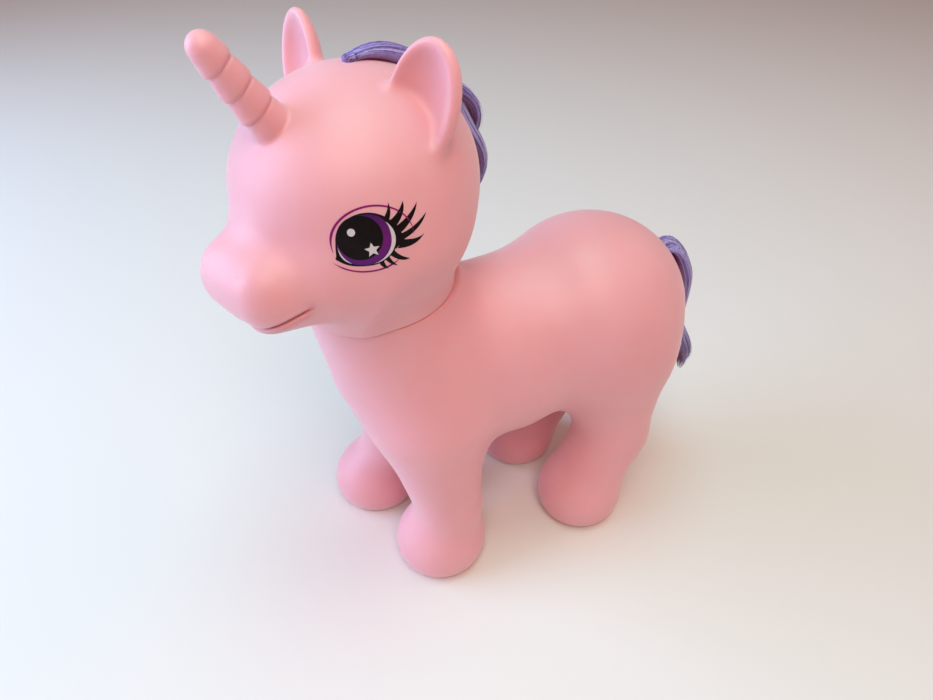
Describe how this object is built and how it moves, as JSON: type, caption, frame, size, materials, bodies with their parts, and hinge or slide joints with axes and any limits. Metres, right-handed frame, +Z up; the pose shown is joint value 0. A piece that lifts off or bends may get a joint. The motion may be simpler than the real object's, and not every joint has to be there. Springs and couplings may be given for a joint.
{
  "type": "toy unicorn",
  "caption": "Hollow soft vinyl toy unicorn standing on four short legs, with a ribbed horn, rooted mane and tail, and a head that turns on its neck.",
  "frame": {"origin": "centre of the toy's bounding box, on the surface that it stands on", "axes": "+Z up, the toy faces -Y, and its own left side is +X"},
  "size_m": [0.1071, 0.2589, 0.2825],
  "materials": {
    "vinyl": "matte soft vinyl, pink right through",
    "hair": "satin synthetic fibre, violet",
    "thread": "wound sewing thread"
  },
  "bodies": {
    "body": {"body_shell": "vinyl", "tail_root": "hair", "tail_band": "thread", "tail_strand_1": "hair", "tail_strand_2": "hair", "tail_strand_3": "hair"},
    "head": {"head_shell": "vinyl", "mane_tuft_1": "hair", "mane_tuft_2": "hair", "mane_tuft_3": "hair", "mane_tuft_4": "hair", "mane_tuft_5": "hair"}
  },
  "joints": [
    {"name": "head_turn", "type": "hinge", "parent": "body", "child": "head", "pos_m": [0, -0.05998, 0.168], "axis": [0, -0.1045, 0.9945], "continuous": true}
  ]
}
